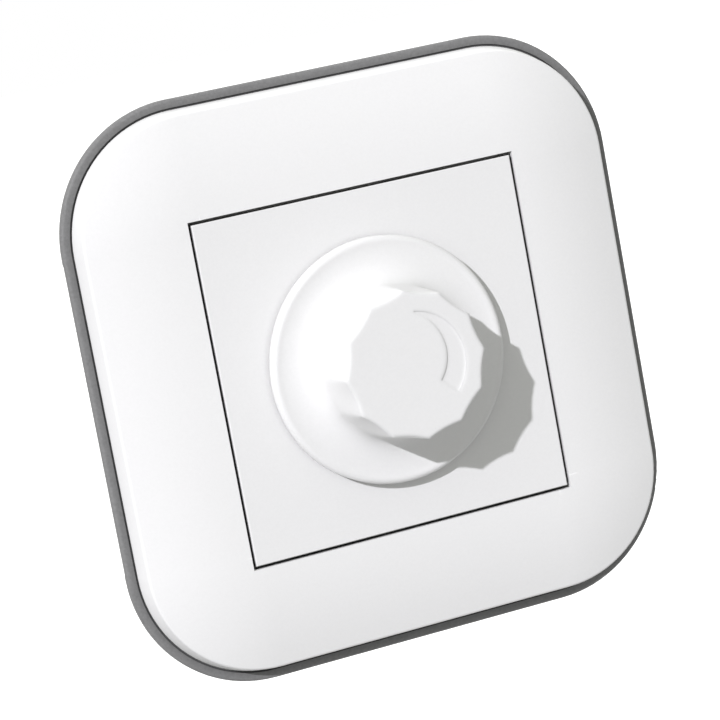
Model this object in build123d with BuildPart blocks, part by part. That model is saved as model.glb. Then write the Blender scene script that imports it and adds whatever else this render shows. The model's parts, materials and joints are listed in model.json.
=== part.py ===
from build123d import *

import os
from math import asin, cos, degrees, radians, sin, sqrt

# Rotary push dimmer for a round wall box, in millimetres. The wall is the plane Y = 0, the front faces -Y and
# +Z is up. A height is a distance in front of the wall, and a negative height lies inside the wall box.

# Cover plate
PLATE_SIZE = 49.5
PLATE_GAP = 0.5
PLATE_THICK = 2.0
PLATE_RIB = 1.2
PLATE_RIB_DEPTH = 1.6
FACE_HEIGHT = 6.5
EDGE_BREAK = 0.1

# Domed cover frame, whose corners turn about a point a little inside the window's corner
COVER_WALL = 1.6
COVER_DRAFT = 0.65
CORNER_INSET = 2.0
COVER_EDGE = 0.45
DOME_RADIUS = 58.0
WINDOW_BAND = 1.4
LEDGE_WIDTH = 2.4
LEDGE_THICK = 1.4

# Grey base frame behind the cover frame
BASE_RIM = 1.6
BASE_THICK = 1.4
BASE_EDGE = 0.5
BASE_LIP = 0.95
GROOVE_REACH = 0.3
GROOVE_DEPTH = 0.25
BASE_RIB = 1.4
RIB_CLEAR = 0.6
SLOT_SPAN = 45.0
SLOT_RISE = 0.15
SLOT_HEIGHT = 0.55
SLOT_DEPTH = 0.6

# Knob, with heights above the plate's face and radii to the corners of its facets
SKIRT_DIAMETER = 35.8
SKIRT_TOP = 2.3
SKIRT_EDGE = 0.7
FLANGE_RISE = 0.5
GRIP_BASE = 14.4
GRIP_FOOT = 11.2
GRIP_TOP = 10.7
FOOT_RISE = 1.6
FACETS = 12
SCALLOP = 0.25
SCALLOP_FADE = 0.2
KNOB_HEIGHT = 12.1
TOP_CHAMFER = 0.1
KNOB_WALL = 1.5
SPLINE_POINTS = 5
KNOB_TRAVEL = 0.6
TRAVEL_SPARE = 0.15
HUB_DIAMETER = 9.6
HUB_RIB = 1.0
HUB_RIB_STEP = 1.0
HUB_RIBS = 4
CRESCENT_RADIUS = 7.6
CRESCENT_WIDTH = 3.2
CRESCENT_TIP = 0.13
CRESCENT_START = 8.0
CRESCENT_END = 132.0
CRESCENT_DEPTH = 0.15

# Shaft, bush and their fastenings
SHAFT_DIAMETER = 6.0
SHAFT_FLAT = 1.5
SHAFT_DRIVE = 4.4
SHAFT_CHAMFER = 0.3
SPRING_LEAF = 0.45
SPRING_WIDTH = 3.6
BUSH_DIAMETER = 10.0
BUSH_FLANGE = 13.0
BUSH_FLANGE_THICK = 1.2
BUSH_END = 0.7
BUSH_CHAMFER = 0.35
NUT_FLATS = 14.0
NUT_THICK = 2.0
WASHER_DIAMETER = 17.0
WASHER_THICK = 0.5
CLIP_DIAMETER = 9.0
CLIP_THICK = 0.6
CLIP_MOUTH = 3.5

# Potentiometer and push switch
POT_SIZE = 17.0
POT_DEPTH = 8.0
POT_WALL = 1.0
ROTOR_DIAMETER = 12.6
ROTOR_THICK = 3.0
ROTOR_HUB = 8.4
ROTOR_HUB_LENGTH = 4.4
ROTOR_GAP = 0.2
STOP_REACH = 1.0
STOP_WIDTH = 3.2
TURN_RANGE = 300.0
STOP_SPARE = 2.0
WIPER_THICK = 0.4
WIPER_WIDTH = 1.6
TRACK_THICK = 1.2
TRACK_HOLE = 10.0
SWITCH_SIZE = 14.0
SWITCH_DEPTH = 4.8
SWITCH_WALL = 1.2
SWITCH_FLOOR = 0.6
PLUNGER_DIAMETER = 5.0
PLUNGER_FLANGE = 7.0
PLUNGER_FLANGE_THICK = 0.6
PLUNGER_GAP = 0.1
PLUNGER_CLEAR = 0.3
SPRING_WIRE = 0.35
SPRING_DIAMETER = 4.8
SPRING_TURNS = 2.5

# Strap, heat sink and rear case
STRAP_MARGIN = 2.0
STRAP_THICK = 1.0
STRAP_CORNER = 7.0
STRAP_GAP = 0.6
BOX_SPACING = 60.0
SLOT_LENGTH = 7.0
SLOT_WIDTH = 3.6
BEAD_LENGTH = 13.0
BEAD_WIDTH = 3.6
BEAD_HEIGHT = 0.6
SINK_THICK = 2.0
CASE_SIZE = 46.0
CASE_CHAMFER = 5.5
CASE_WALL = 1.6
CASE_EDGE = 0.8
POST_INSET = 6.5
POST_DIAMETER = 5.4
SCREW_SHANK = 2.4
SCREW_HEAD = 4.6
SCREW_HEAD_THICK = 1.5
SCREW_LENGTH = 15.0
RECESS_WIDTH = 0.6
RECESS_SHARE = 0.6
HEAD_ROUND_SHARE = 0.35
VENT_COUNT = 5
VENT_PITCH = 4.4
VENT_WIDTH = 1.4
VENT_LENGTH = 9.0
SHELF_WIDTH = 5.0
SHELF_REACH = 1.2

# Circuit board and what it carries
BOARD_THICK = 1.6
REAR_SPACE = 8.8
TRIAC_WIDTH = 10.0
TRIAC_LENGTH = 15.4
TRIAC_TAB = 1.3
TRIAC_BODY_LENGTH = 9.0
TRIAC_BODY_THICK = 3.2
TRIAC_HOLE_INSET = 2.8
TRIAC_SCREW = 3.0
TRIAC_SCREW_HEAD = 5.4
LEAD = 0.7
LEAD_PITCH = 2.54
CHOKE_OUTER = 10.6
CHOKE_INNER = 6.4
CHOKE_WIDTH = 5.0
CHOKE_WIRE = 0.9
CHOKE_OPEN_ANGLE = 60.0
FILM_WIDTH = 6.5
FILM_LENGTH = 15.0
FILM_HEIGHT = 11.0
TIMING_WIDTH = 7.0
TIMING_THICK = 2.5
TIMING_HEIGHT = 6.5
BOX_EDGE = 0.5
RESISTOR_DIAMETER = 2.3
RESISTOR_LENGTH = 6.3
DIAC_DIAMETER = 1.9
DIAC_LENGTH = 4.2
LEAD_STEP = 1.0
AXIAL_PITCH = 3.0
FUSE_DIAMETER = 5.2
FUSE_LENGTH = 20.0
FUSE_GLASS = 0.7
FUSE_CAP_LENGTH = 5.0
FUSE_CAP_WALL = 0.3
FUSE_CLIP = 0.5
FUSE_CLIP_WIDTH = 4.0
FUSE_CLIP_OPEN = 110.0
FUSE_CLEAR = 1.0
ROW_GAP = 1.3

# Terminals
TERMINALS = 3
TERMINAL_HEIGHT = 10.0
TERMINAL_ROOF = 1.4
CAGE_WIDTH = 6.4
CAGE_HEIGHT = 5.8
CAGE_WALL = 1.0
WIRE_HOLE = 3.4
CLAMP_SCREW = 3.0
CLAMP_HEAD = 4.6
CLAMP_HEAD_THICK = 1.4
CLAMP_LENGTH = 4.0
DRIVER_HOLE = 5.0

# Clearances: a slip fit between fixed pieces, a running fit on a radius and a hole around a fastener
SLIP = 0.15
RUNNING = 0.05
HOLE_CLEAR = 0.15

FRONT = Vector(0, -1, 0)


def facing(height):
    """Plane parallel to the wall at a height, seen from the front: local x is +X and local y is +Z."""
    return Plane.XZ.offset(height)


def upright(x_dir, origin=(0, 0, 0)):
    """Plane across the wall through an origin: local y is the height and local x is the direction given."""
    return Plane(origin=origin, x_dir=x_dir, z_dir=Vector(*x_dir).cross(FRONT))


def point_at(radius, angle):
    """Point at a radius and an angle in degrees, in a sketch's own axes."""
    return (radius * cos(radians(angle)), radius * sin(radians(angle)))


def grid(spacing):
    """Four corners of a square of the given spacing about the axis."""
    return [(x * spacing / 2, z * spacing / 2) for x in (-1, 1) for z in (-1, 1)]


def screws(plane, points, head, head_thick, shank, length):
    """Pan-head screws with a cross recess, their heads standing on a plane at the points given."""
    with BuildPart() as group:
        with BuildSketch(plane):
            with Locations(*points):
                Circle(head / 2)
        extrude(amount=head_thick)
        tops = group.faces().sort_by(Axis(plane.origin, plane.z_dir))[-len(points):]
        fillet(tops.edges(), HEAD_ROUND_SHARE * head_thick)
        with BuildSketch(plane.offset(head_thick)):
            with Locations(*points):
                Rectangle(RECESS_SHARE * head, RECESS_WIDTH)
                Rectangle(RECESS_WIDTH, RECESS_SHARE * head)
        extrude(amount=-head_thick / 2, mode=Mode.SUBTRACT)
        with BuildSketch(plane):
            with Locations(*points):
                Circle(shank / 2)
        extrude(amount=-length)
    return group.part


knob_axis = Axis((0, 0, 0), FRONT)
across = upright((1, 0, 0))
window_half = PLATE_SIZE / 2 + PLATE_GAP
ledge_height = FACE_HEIGHT - PLATE_THICK
ledge_bottom = ledge_height - LEDGE_THICK
strap_size = BOX_SPACING + SLOT_LENGTH + 2 * STRAP_MARGIN
base_opening = strap_size + 2 * STRAP_GAP
rib_opening = base_opening + 2 * BASE_LIP
rib_size = rib_opening + 2 * BASE_RIB
cover_half = rib_size / 2 + SLIP + COVER_WALL + COVER_DRAFT
cover_corner = cover_half - window_half + CORNER_INSET

# Cover frame: a domed section swept round the rounded square, with a sharp window and a ledge for the plate
cover_run = cover_half - window_half
dome_run = cover_run - COVER_DRAFT
dome_center = (-cover_run, FACE_HEIGHT - BASE_THICK - DOME_RADIUS)
dome_angle = degrees(asin(dome_run / DOME_RADIUS))
under_radius = DOME_RADIUS - COVER_WALL
under_start = degrees(asin((dome_run - COVER_WALL) / under_radius))
under_end = degrees(asin(WINDOW_BAND / under_radius))

with BuildPart() as cover_frame:
    with BuildLine(facing(BASE_THICK)) as cover_path:
        FilletPolyline(
            (cover_half, -cover_half),
            (cover_half, cover_half),
            (-cover_half, cover_half),
            (-cover_half, -cover_half),
            radius=cover_corner,
            close=True,
        )
    along = cover_path.line % 0
    with BuildSketch(Plane(cover_path.line @ 0, x_dir=along.cross(FRONT), z_dir=-along)) as cover_section:
        with BuildLine():
            dome = CenterArc(dome_center, DOME_RADIUS, 90 - dome_angle, dome_angle)
            under = CenterArc(dome_center, under_radius, 90 - under_start, under_start - under_end)
            Polyline(under @ 0, (-COVER_WALL, 0), (0, 0), dome @ 0)
            Polyline(
                dome @ 1,
                (-cover_run, ledge_bottom - BASE_THICK),
                (WINDOW_BAND - cover_run, ledge_bottom - BASE_THICK),
                under @ 1,
            )
        make_face()
        fillet(cover_section.vertices().sort_by_distance(dome @ 0)[0], COVER_EDGE)
    sweep(path=cover_path.line)
    with BuildSketch(facing(ledge_bottom)):
        Rectangle(2 * (window_half + WINDOW_BAND), 2 * (window_half + WINDOW_BAND))
        Rectangle(2 * (window_half - LEDGE_WIDTH), 2 * (window_half - LEDGE_WIDTH), mode=Mode.SUBTRACT)
    extrude(amount=FACE_HEIGHT - COVER_WALL / 2 - ledge_bottom)
    with BuildSketch(facing(ledge_height)):
        Rectangle(2 * window_half, 2 * window_half)
    extrude(amount=FACE_HEIGHT, mode=Mode.SUBTRACT)

# Base frame: a flat rim that shows round the cover, with a shadow groove at the cover's foot, a rib inside
# the cover and a long slot in each side to pry it off
base_size = 2 * (cover_half + BASE_RIM)
groove_outside = 2 * (cover_half + GROOVE_REACH)
groove_inside = 2 * (cover_half - GROOVE_REACH)
rib_corner = cover_corner - COVER_WALL - COVER_DRAFT - SLIP
rib_run = rib_size / 2 - window_half
rib_top = FACE_HEIGHT - DOME_RADIUS + sqrt(under_radius**2 - rib_run**2) - RIB_CLEAR

with BuildPart() as base_frame:
    with BuildSketch(facing(0)):
        RectangleRounded(base_size, base_size, cover_corner + BASE_RIM)
    extrude(amount=BASE_THICK)
    fillet(base_frame.edges().filter_by(Axis.Y, reverse=True), BASE_EDGE)
    with BuildSketch(facing(BASE_THICK)):
        RectangleRounded(groove_outside, groove_outside, cover_corner + GROOVE_REACH)
        RectangleRounded(groove_inside, groove_inside, cover_corner - GROOVE_REACH, mode=Mode.SUBTRACT)
    extrude(amount=-GROOVE_DEPTH, mode=Mode.SUBTRACT)
    with BuildSketch(facing(BASE_THICK)):
        RectangleRounded(rib_size, rib_size, rib_corner)
        RectangleRounded(rib_opening, rib_opening, rib_corner - BASE_RIB, mode=Mode.SUBTRACT)
    extrude(amount=rib_top - BASE_THICK)
    with BuildSketch(facing(0)):
        RectangleRounded(base_opening, base_opening, STRAP_CORNER)
    extrude(amount=BASE_THICK, mode=Mode.SUBTRACT)
    with BuildSketch(facing(SLOT_RISE)):
        with PolarLocations(base_size / 2, 4):
            Rectangle(2 * SLOT_DEPTH, SLOT_SPAN)
    extrude(amount=SLOT_HEIGHT, mode=Mode.SUBTRACT)

# Cover plate: flush in the window, with a rib behind that centres it in the frame's ledge
plate_hole = BUSH_DIAMETER / 2 + HOLE_CLEAR
plate_rib_size = 2 * (window_half - LEDGE_WIDTH - SLIP)
plate_rib_inside = plate_rib_size - 2 * PLATE_RIB

with BuildPart() as cover_plate:
    with BuildSketch(facing(ledge_height)):
        Rectangle(PLATE_SIZE, PLATE_SIZE)
    extrude(amount=PLATE_THICK)
    chamfer(cover_plate.faces().sort_by(knob_axis)[-1].edges(), EDGE_BREAK)
    with BuildSketch(facing(ledge_height)):
        Rectangle(plate_rib_size, plate_rib_size)
        Rectangle(plate_rib_inside, plate_rib_inside, mode=Mode.SUBTRACT)
    extrude(amount=-PLATE_RIB_DEPTH)
    with BuildSketch(facing(FACE_HEIGHT)):
        Circle(plate_hole)
    extrude(amount=-PLATE_THICK, mode=Mode.SUBTRACT)

# Knob: a skirt, a scalloped grip that sweeps up out of it, a flat top and a hub with ribs in the hollow
skirt_bottom = FACE_HEIGHT + KNOB_TRAVEL + TRAVEL_SPARE
grip_bottom = FACE_HEIGHT + SKIRT_TOP + FLANGE_RISE
knob_top = FACE_HEIGHT + KNOB_HEIGHT
foot_top = grip_bottom + FOOT_RISE
facet_angle = 360 / FACETS
top_depth = GRIP_TOP * (1 - cos(radians(facet_angle / 2))) + SCALLOP
foot_depth = SCALLOP_FADE * top_depth
ceiling = knob_top - KNOB_WALL
bush_top = FACE_HEIGHT + WASHER_THICK + NUT_THICK + BUSH_END
hub_bottom = bush_top + KNOB_TRAVEL + TRAVEL_SPARE
bore_top = ceiling - SLIP
bore_radius = SHAFT_DIAMETER / 2 + HOLE_CLEAR
bore_flat = SHAFT_FLAT + SPRING_LEAF + 2 * RUNNING


def facet_ring(corner_radius, depth):
    """Closed line of shallow arcs between the facets' corners, whose middles lie a depth inside them."""
    for k in range(FACETS):
        start = k * facet_angle
        ThreePointArc(
            point_at(corner_radius, start),
            point_at(corner_radius - depth, start + facet_angle / 2),
            point_at(corner_radius, start + facet_angle),
        )


def spread(start, end):
    """Evenly spread values for the points of a spline."""
    return [start + (end - start) * k / (SPLINE_POINTS - 1) for k in range(SPLINE_POINTS)]


def crescent_width(t):
    """Width of the crescent, from its wide end at t = 0 to its tip at t = 1."""
    return CRESCENT_TIP + (CRESCENT_WIDTH - CRESCENT_TIP) * (1 - t**2)


hollow_foot = GRIP_FOOT - foot_depth - KNOB_WALL
hollow_top = GRIP_TOP - top_depth - KNOB_WALL
foot_inside = hollow_foot + KNOB_WALL / 2
grip_rings = [
    (GRIP_FOOT, foot_depth, grip_bottom),
    (GRIP_TOP, top_depth, knob_top - TOP_CHAMFER),
    (GRIP_TOP - TOP_CHAMFER, top_depth, knob_top),
]
wide_angle = 90 - CRESCENT_END
crescent_sweep = CRESCENT_END - CRESCENT_START

with BuildPart() as knob_core:
    with BuildSketch(across):
        Polygon(
            (0, skirt_bottom),
            (hollow_foot, skirt_bottom),
            (hollow_foot, foot_top),
            (hollow_top, ceiling),
            (0, ceiling),
            align=None,
        )
    revolve(axis=knob_axis)
    with BuildSketch(facing(hub_bottom)):
        Circle(HUB_DIAMETER / 2)
    extrude(amount=ceiling - hub_bottom, mode=Mode.SUBTRACT)
    with BuildSketch(facing(hub_bottom + HUB_RIB_STEP)):
        with PolarLocations(0, HUB_RIBS, 180 / HUB_RIBS):
            Rectangle(GRIP_BASE, HUB_RIB, align=(Align.MIN, Align.CENTER))
    extrude(amount=ceiling - hub_bottom, mode=Mode.SUBTRACT)

with BuildPart() as knob:
    with BuildSketch(across) as skirt_section:
        Polygon(
            (0, skirt_bottom),
            (SKIRT_DIAMETER / 2, skirt_bottom),
            (SKIRT_DIAMETER / 2, FACE_HEIGHT + SKIRT_TOP),
            (GRIP_BASE, grip_bottom),
            (0, grip_bottom),
            align=None,
        )
        fillet(skirt_section.vertices().group_by(Axis.X)[-1].sort_by(Axis.Y)[-1], SKIRT_EDGE)
        with BuildLine():
            sweep_up = EllipticalCenterArc(
                (GRIP_BASE, foot_top), GRIP_BASE - foot_inside, FOOT_RISE, start_angle=180, arc_size=90
            )
            Polyline(sweep_up @ 1, (0, grip_bottom), (0, foot_top), sweep_up @ 0)
        make_face()
    revolve(axis=knob_axis)
    for radius, depth, height in grip_rings:
        with BuildSketch(facing(height)):
            with BuildLine():
                facet_ring(radius, depth)
            make_face()
    loft(ruled=True)
    add(knob_core.part, mode=Mode.SUBTRACT)
    with BuildSketch(facing(hub_bottom)):
        Circle(bore_radius)
        with Locations((0, -bore_flat - bore_radius)):
            Rectangle(2 * bore_radius, 2 * bore_radius, mode=Mode.SUBTRACT)
    extrude(amount=bore_top - hub_bottom, mode=Mode.SUBTRACT)
    with BuildSketch(facing(knob_top)):
        with BuildLine():
            rim = CenterArc((0, 0), CRESCENT_RADIUS, wide_angle, crescent_sweep)
            inner = Spline(
                *[
                    point_at(CRESCENT_RADIUS - crescent_width(t), wide_angle + t * crescent_sweep)
                    for t in spread(0, 1)
                ]
            )
            Line(rim @ 0, inner @ 0)
            Line(rim @ 1, inner @ 1)
        make_face()
    extrude(amount=-CRESCENT_DEPTH, mode=Mode.SUBTRACT)

# Leaf spring between the hub and the shaft's flat
with BuildPart() as knob_spring:
    with BuildSketch(facing(hub_bottom + RUNNING)):
        with Locations((0, -SHAFT_FLAT - RUNNING - SPRING_LEAF / 2)):
            Rectangle(SPRING_WIDTH, SPRING_LEAF)
    extrude(amount=bore_top - hub_bottom - 2 * RUNNING)

# Heights of the stack in the wall box, from the strap backwards
pot_front = -SINK_THICK
pot_back = pot_front - POT_DEPTH
track_back = pot_back - TRACK_THICK
board_front = track_back - SWITCH_DEPTH
board_back = board_front - BOARD_THICK
floor_height = board_back - REAR_SPACE
case_back = floor_height - CASE_WALL
flange_back = pot_front - POT_WALL - BUSH_FLANGE_THICK
hub_front = flange_back - ROTOR_GAP
rotor_back = hub_front - ROTOR_HUB_LENGTH
plunger_top = track_back + KNOB_TRAVEL + PLUNGER_GAP
shaft_end = plunger_top + PLUNGER_GAP

# Shaft: round in the bush, with a flat for the knob, two flats for the rotor and a groove for the clip
clip_front = rotor_back - RUNNING
flats_top = hub_front + KNOB_TRAVEL + TRAVEL_SPARE
shaft_top = bore_top - SLIP

with BuildPart() as shaft:
    with BuildSketch(facing(shaft_end)):
        Circle(SHAFT_DIAMETER / 2)
    extrude(amount=shaft_top - shaft_end)
    chamfer(shaft.faces().sort_by(knob_axis)[-1].edges(), SHAFT_CHAMFER)
    with BuildSketch(facing(hub_bottom)):
        with Locations((0, -SHAFT_FLAT - SHAFT_DIAMETER / 2)):
            Rectangle(SHAFT_DIAMETER, SHAFT_DIAMETER)
    extrude(amount=shaft_top - hub_bottom, mode=Mode.SUBTRACT)
    with BuildSketch(facing(shaft_end)):
        with Locations((0, SHAFT_DRIVE / 2 + SHAFT_DIAMETER / 2), (0, -SHAFT_DRIVE / 2 - SHAFT_DIAMETER / 2)):
            Rectangle(SHAFT_DIAMETER, SHAFT_DIAMETER)
    extrude(amount=flats_top - shaft_end, mode=Mode.SUBTRACT)
    with BuildSketch(facing(clip_front)):
        Circle(SHAFT_DIAMETER / 2)
        Circle(SHAFT_DRIVE / 2, mode=Mode.SUBTRACT)
    extrude(amount=-CLIP_THICK - RUNNING, mode=Mode.SUBTRACT)

with BuildPart() as shaft_clip:
    with BuildSketch(facing(clip_front)):
        Circle(CLIP_DIAMETER / 2)
        Circle(SHAFT_DRIVE / 2 + RUNNING, mode=Mode.SUBTRACT)
        with Locations((CLIP_DIAMETER / 2, 0)):
            Rectangle(CLIP_DIAMETER, CLIP_MOUTH, mode=Mode.SUBTRACT)
    extrude(amount=-CLIP_THICK)

# Threaded bush with its flange in the potentiometer's case, its nuts and its washer
with BuildPart() as bush:
    with BuildSketch(facing(flange_back)):
        Circle(BUSH_FLANGE / 2)
    extrude(amount=BUSH_FLANGE_THICK)
    with BuildSketch(facing(flange_back)):
        Circle(BUSH_DIAMETER / 2)
    extrude(amount=bush_top - flange_back)
    chamfer(bush.faces().sort_by(knob_axis)[-1].edges(), BUSH_CHAMFER)
    with BuildSketch(facing(flange_back)):
        Circle(SHAFT_DIAMETER / 2 + RUNNING)
    extrude(amount=bush_top - flange_back, mode=Mode.SUBTRACT)

with BuildPart() as bush_nuts:
    for nut_height in (STRAP_THICK, FACE_HEIGHT + WASHER_THICK):
        with BuildSketch(facing(nut_height)):
            RegularPolygon(NUT_FLATS / 2, 6, major_radius=False)
            Circle(BUSH_DIAMETER / 2 + RUNNING, mode=Mode.SUBTRACT)
        extrude(amount=NUT_THICK)

with BuildPart() as bush_washer:
    with BuildSketch(facing(FACE_HEIGHT)):
        Circle(WASHER_DIAMETER / 2)
        Circle(plate_hole, mode=Mode.SUBTRACT)
    extrude(amount=WASHER_THICK)

# Potentiometer: case with a stop, rotor with a lug, wiper and track board
pot_inside = POT_SIZE - 2 * POT_WALL
lug_radius = ROTOR_DIAMETER / 2 + STOP_REACH
stop_depth = pot_inside / 2 - ROTOR_DIAMETER / 2 - ROTOR_GAP
stop_half_angle = degrees(asin(STOP_WIDTH / 2 / (ROTOR_DIAMETER / 2)))
lug_half_angle = 180 - TURN_RANGE / 2 - stop_half_angle - STOP_SPARE / 2

with BuildPart() as pot_case:
    with BuildSketch(facing(pot_back)):
        Rectangle(POT_SIZE, POT_SIZE)
    extrude(amount=POT_DEPTH)
    with BuildSketch(facing(pot_back)):
        Rectangle(pot_inside, pot_inside)
        with Locations((0, -pot_inside / 2)):
            Rectangle(STOP_WIDTH, 2 * stop_depth, mode=Mode.SUBTRACT)
    extrude(amount=POT_DEPTH - POT_WALL, mode=Mode.SUBTRACT)
    with BuildSketch(facing(flange_back)):
        Circle(BUSH_FLANGE / 2 + RUNNING)
    extrude(amount=BUSH_FLANGE_THICK, mode=Mode.SUBTRACT)
    with BuildSketch(facing(pot_front)):
        Circle(BUSH_DIAMETER / 2 + RUNNING)
    extrude(amount=-POT_WALL, mode=Mode.SUBTRACT)

with BuildPart() as rotor:
    with BuildSketch(facing(rotor_back)):
        Circle(ROTOR_DIAMETER / 2)
    extrude(amount=ROTOR_THICK)
    with BuildSketch(facing(rotor_back)):
        with BuildLine():
            lug_arc = CenterArc((0, 0), lug_radius, 90 - lug_half_angle, 2 * lug_half_angle)
            Polyline(lug_arc @ 1, (0, 0), lug_arc @ 0)
        make_face()
    extrude(amount=ROTOR_THICK)
    with BuildSketch(facing(rotor_back)):
        Circle(ROTOR_HUB / 2)
    extrude(amount=hub_front - rotor_back)
    with BuildSketch(facing(rotor_back)):
        Circle(SHAFT_DIAMETER / 2 + RUNNING)
        with Locations((0, SHAFT_DRIVE + RUNNING), (0, -SHAFT_DRIVE - RUNNING)):
            Rectangle(SHAFT_DIAMETER, SHAFT_DRIVE, mode=Mode.SUBTRACT)
    extrude(amount=hub_front - rotor_back, mode=Mode.SUBTRACT)

# Wiper: a sprung ring under the rotor with two fingers that reach the track
wiper_radius = (TRACK_HOLE / 2 + ROTOR_DIAMETER / 2) / 2
wiper_reach = rotor_back - pot_back - RUNNING * 2

with BuildPart() as wiper:
    with BuildSketch(facing(rotor_back)):
        Circle(ROTOR_DIAMETER / 2)
        Circle(TRACK_HOLE / 2, mode=Mode.SUBTRACT)
    extrude(amount=-WIPER_THICK)
    with BuildSketch(facing(rotor_back)):
        with Locations((wiper_radius, 0), (-wiper_radius, 0)):
            Rectangle(WIPER_THICK, WIPER_WIDTH)
    extrude(amount=-wiper_reach)

with BuildPart() as track_board:
    with BuildSketch(facing(track_back)):
        Rectangle(POT_SIZE, POT_SIZE)
        Circle(TRACK_HOLE / 2, mode=Mode.SUBTRACT)
    extrude(amount=TRACK_THICK)

# Push switch: case, plunger pushed by the shaft's end, and its return spring
plunger_shoulder = track_back - SWITCH_WALL - RUNNING
plunger_bottom = plunger_shoulder - PLUNGER_FLANGE_THICK
switch_floor = board_front + SWITCH_FLOOR

with BuildPart() as switch_case:
    with BuildSketch(facing(board_front)):
        Rectangle(SWITCH_SIZE, SWITCH_SIZE)
    extrude(amount=SWITCH_DEPTH)
    with BuildSketch(facing(switch_floor)):
        Circle(PLUNGER_FLANGE / 2 + PLUNGER_CLEAR)
    extrude(amount=track_back - SWITCH_WALL - switch_floor, mode=Mode.SUBTRACT)
    with BuildSketch(facing(track_back)):
        Circle(PLUNGER_DIAMETER / 2 + RUNNING)
    extrude(amount=-SWITCH_WALL, mode=Mode.SUBTRACT)

with BuildPart() as switch_plunger:
    with BuildSketch(facing(plunger_bottom)):
        Circle(PLUNGER_FLANGE / 2)
    extrude(amount=PLUNGER_FLANGE_THICK)
    with BuildSketch(facing(plunger_shoulder)):
        Circle(PLUNGER_DIAMETER / 2)
    extrude(amount=plunger_top - plunger_shoulder)

spring_length = plunger_bottom - switch_floor - SPRING_WIRE - 2 * RUNNING
spring_start = switch_floor + SPRING_WIRE / 2 + RUNNING

with BuildPart() as switch_spring:
    with BuildLine() as coil:
        Helix(
            spring_length / SPRING_TURNS,
            spring_length,
            SPRING_DIAMETER / 2,
            center=FRONT * spring_start,
            direction=FRONT,
        )
    with BuildSketch(Plane(coil.line @ 0, z_dir=coil.line % 0)):
        Circle(SPRING_WIRE / 2)
    sweep(path=coil.line, is_frenet=True)

# Support strap: steel plate on the wall with slots for the box screws and pressed beads
post_spacing = CASE_SIZE - 2 * POST_INSET
screw_points = grid(post_spacing)
bead_points = [(x * post_spacing / 2, z * BOX_SPACING / 2) for x in (-1, 1) for z in (-1, 1)]
bush_hole = BUSH_DIAMETER / 2 + HOLE_CLEAR
screw_hole = SCREW_SHANK / 2 + HOLE_CLEAR

with BuildPart() as support_strap:
    with BuildSketch(facing(0)):
        RectangleRounded(strap_size, strap_size, STRAP_CORNER)
    extrude(amount=STRAP_THICK)
    with BuildSketch(facing(STRAP_THICK)):
        with Locations(*bead_points):
            SlotOverall(BEAD_LENGTH, BEAD_WIDTH)
    extrude(amount=BEAD_HEIGHT)
    with BuildSketch(facing(0)):
        with Locations(*bead_points):
            SlotOverall(BEAD_LENGTH - STRAP_THICK, BEAD_WIDTH - STRAP_THICK)
    extrude(amount=BEAD_HEIGHT, mode=Mode.SUBTRACT)
    with BuildSketch(facing(0)):
        Circle(bush_hole)
        with Locations(*screw_points):
            Circle(screw_hole)
        with Locations((-BOX_SPACING / 2, 0), (BOX_SPACING / 2, 0)):
            SlotOverall(SLOT_LENGTH, SLOT_WIDTH)
        with Locations((0, -BOX_SPACING / 2), (0, BOX_SPACING / 2)):
            SlotOverall(SLOT_LENGTH, SLOT_WIDTH, rotation=90)
    extrude(amount=STRAP_THICK, mode=Mode.SUBTRACT)

# Heat sink: aluminium plate behind the strap that closes the rear case
triac_mid = (POT_SIZE / 2 + CASE_SIZE / 2 - CASE_WALL) / 2
triac_start = -TRIAC_LENGTH / 2
triac_hole = (triac_start + TRIAC_HOLE_INSET, triac_mid)

with BuildPart() as heat_sink:
    with BuildSketch(facing(-SINK_THICK)) as sink_outline:
        Rectangle(CASE_SIZE, CASE_SIZE)
        chamfer(sink_outline.vertices(), CASE_CHAMFER)
        Circle(bush_hole, mode=Mode.SUBTRACT)
        with Locations(*screw_points):
            Circle(screw_hole, mode=Mode.SUBTRACT)
        with Locations(triac_hole):
            Circle(TRIAC_SCREW / 2 + RUNNING, mode=Mode.SUBTRACT)
    extrude(amount=SINK_THICK)

# Rear case: moulded box with cut corners, screw posts, shelves for the board, vents and terminal openings
inside_half = CASE_SIZE / 2 - CASE_WALL
inside_chamfer = CASE_CHAMFER - CASE_WALL * (2 - sqrt(2))
block_width = post_spacing - POST_DIAMETER - 2 * SLIP
terminal_pitch = (block_width - TERMINAL_ROOF) / TERMINALS
terminal_points = [(k - (TERMINALS - 1) / 2) * terminal_pitch for k in range(TERMINALS)]
block_bottom = -inside_half + SLIP
cage_bottom = block_bottom + CLAMP_HEAD_THICK
cage_depth = REAR_SPACE - 2 * CAGE_WALL
cage_middle = floor_height + REAR_SPACE / 2
wire_height = cage_bottom + CAGE_WALL + (CAGE_HEIGHT - 2 * CAGE_WALL) / 2
wire_points = [(x, wire_height) for x in terminal_points]
vent_height = (board_front + pot_front) / 2
vent_points = [((k - (VENT_COUNT - 1) / 2) * VENT_PITCH, vent_height) for k in range(VENT_COUNT)]

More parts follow.
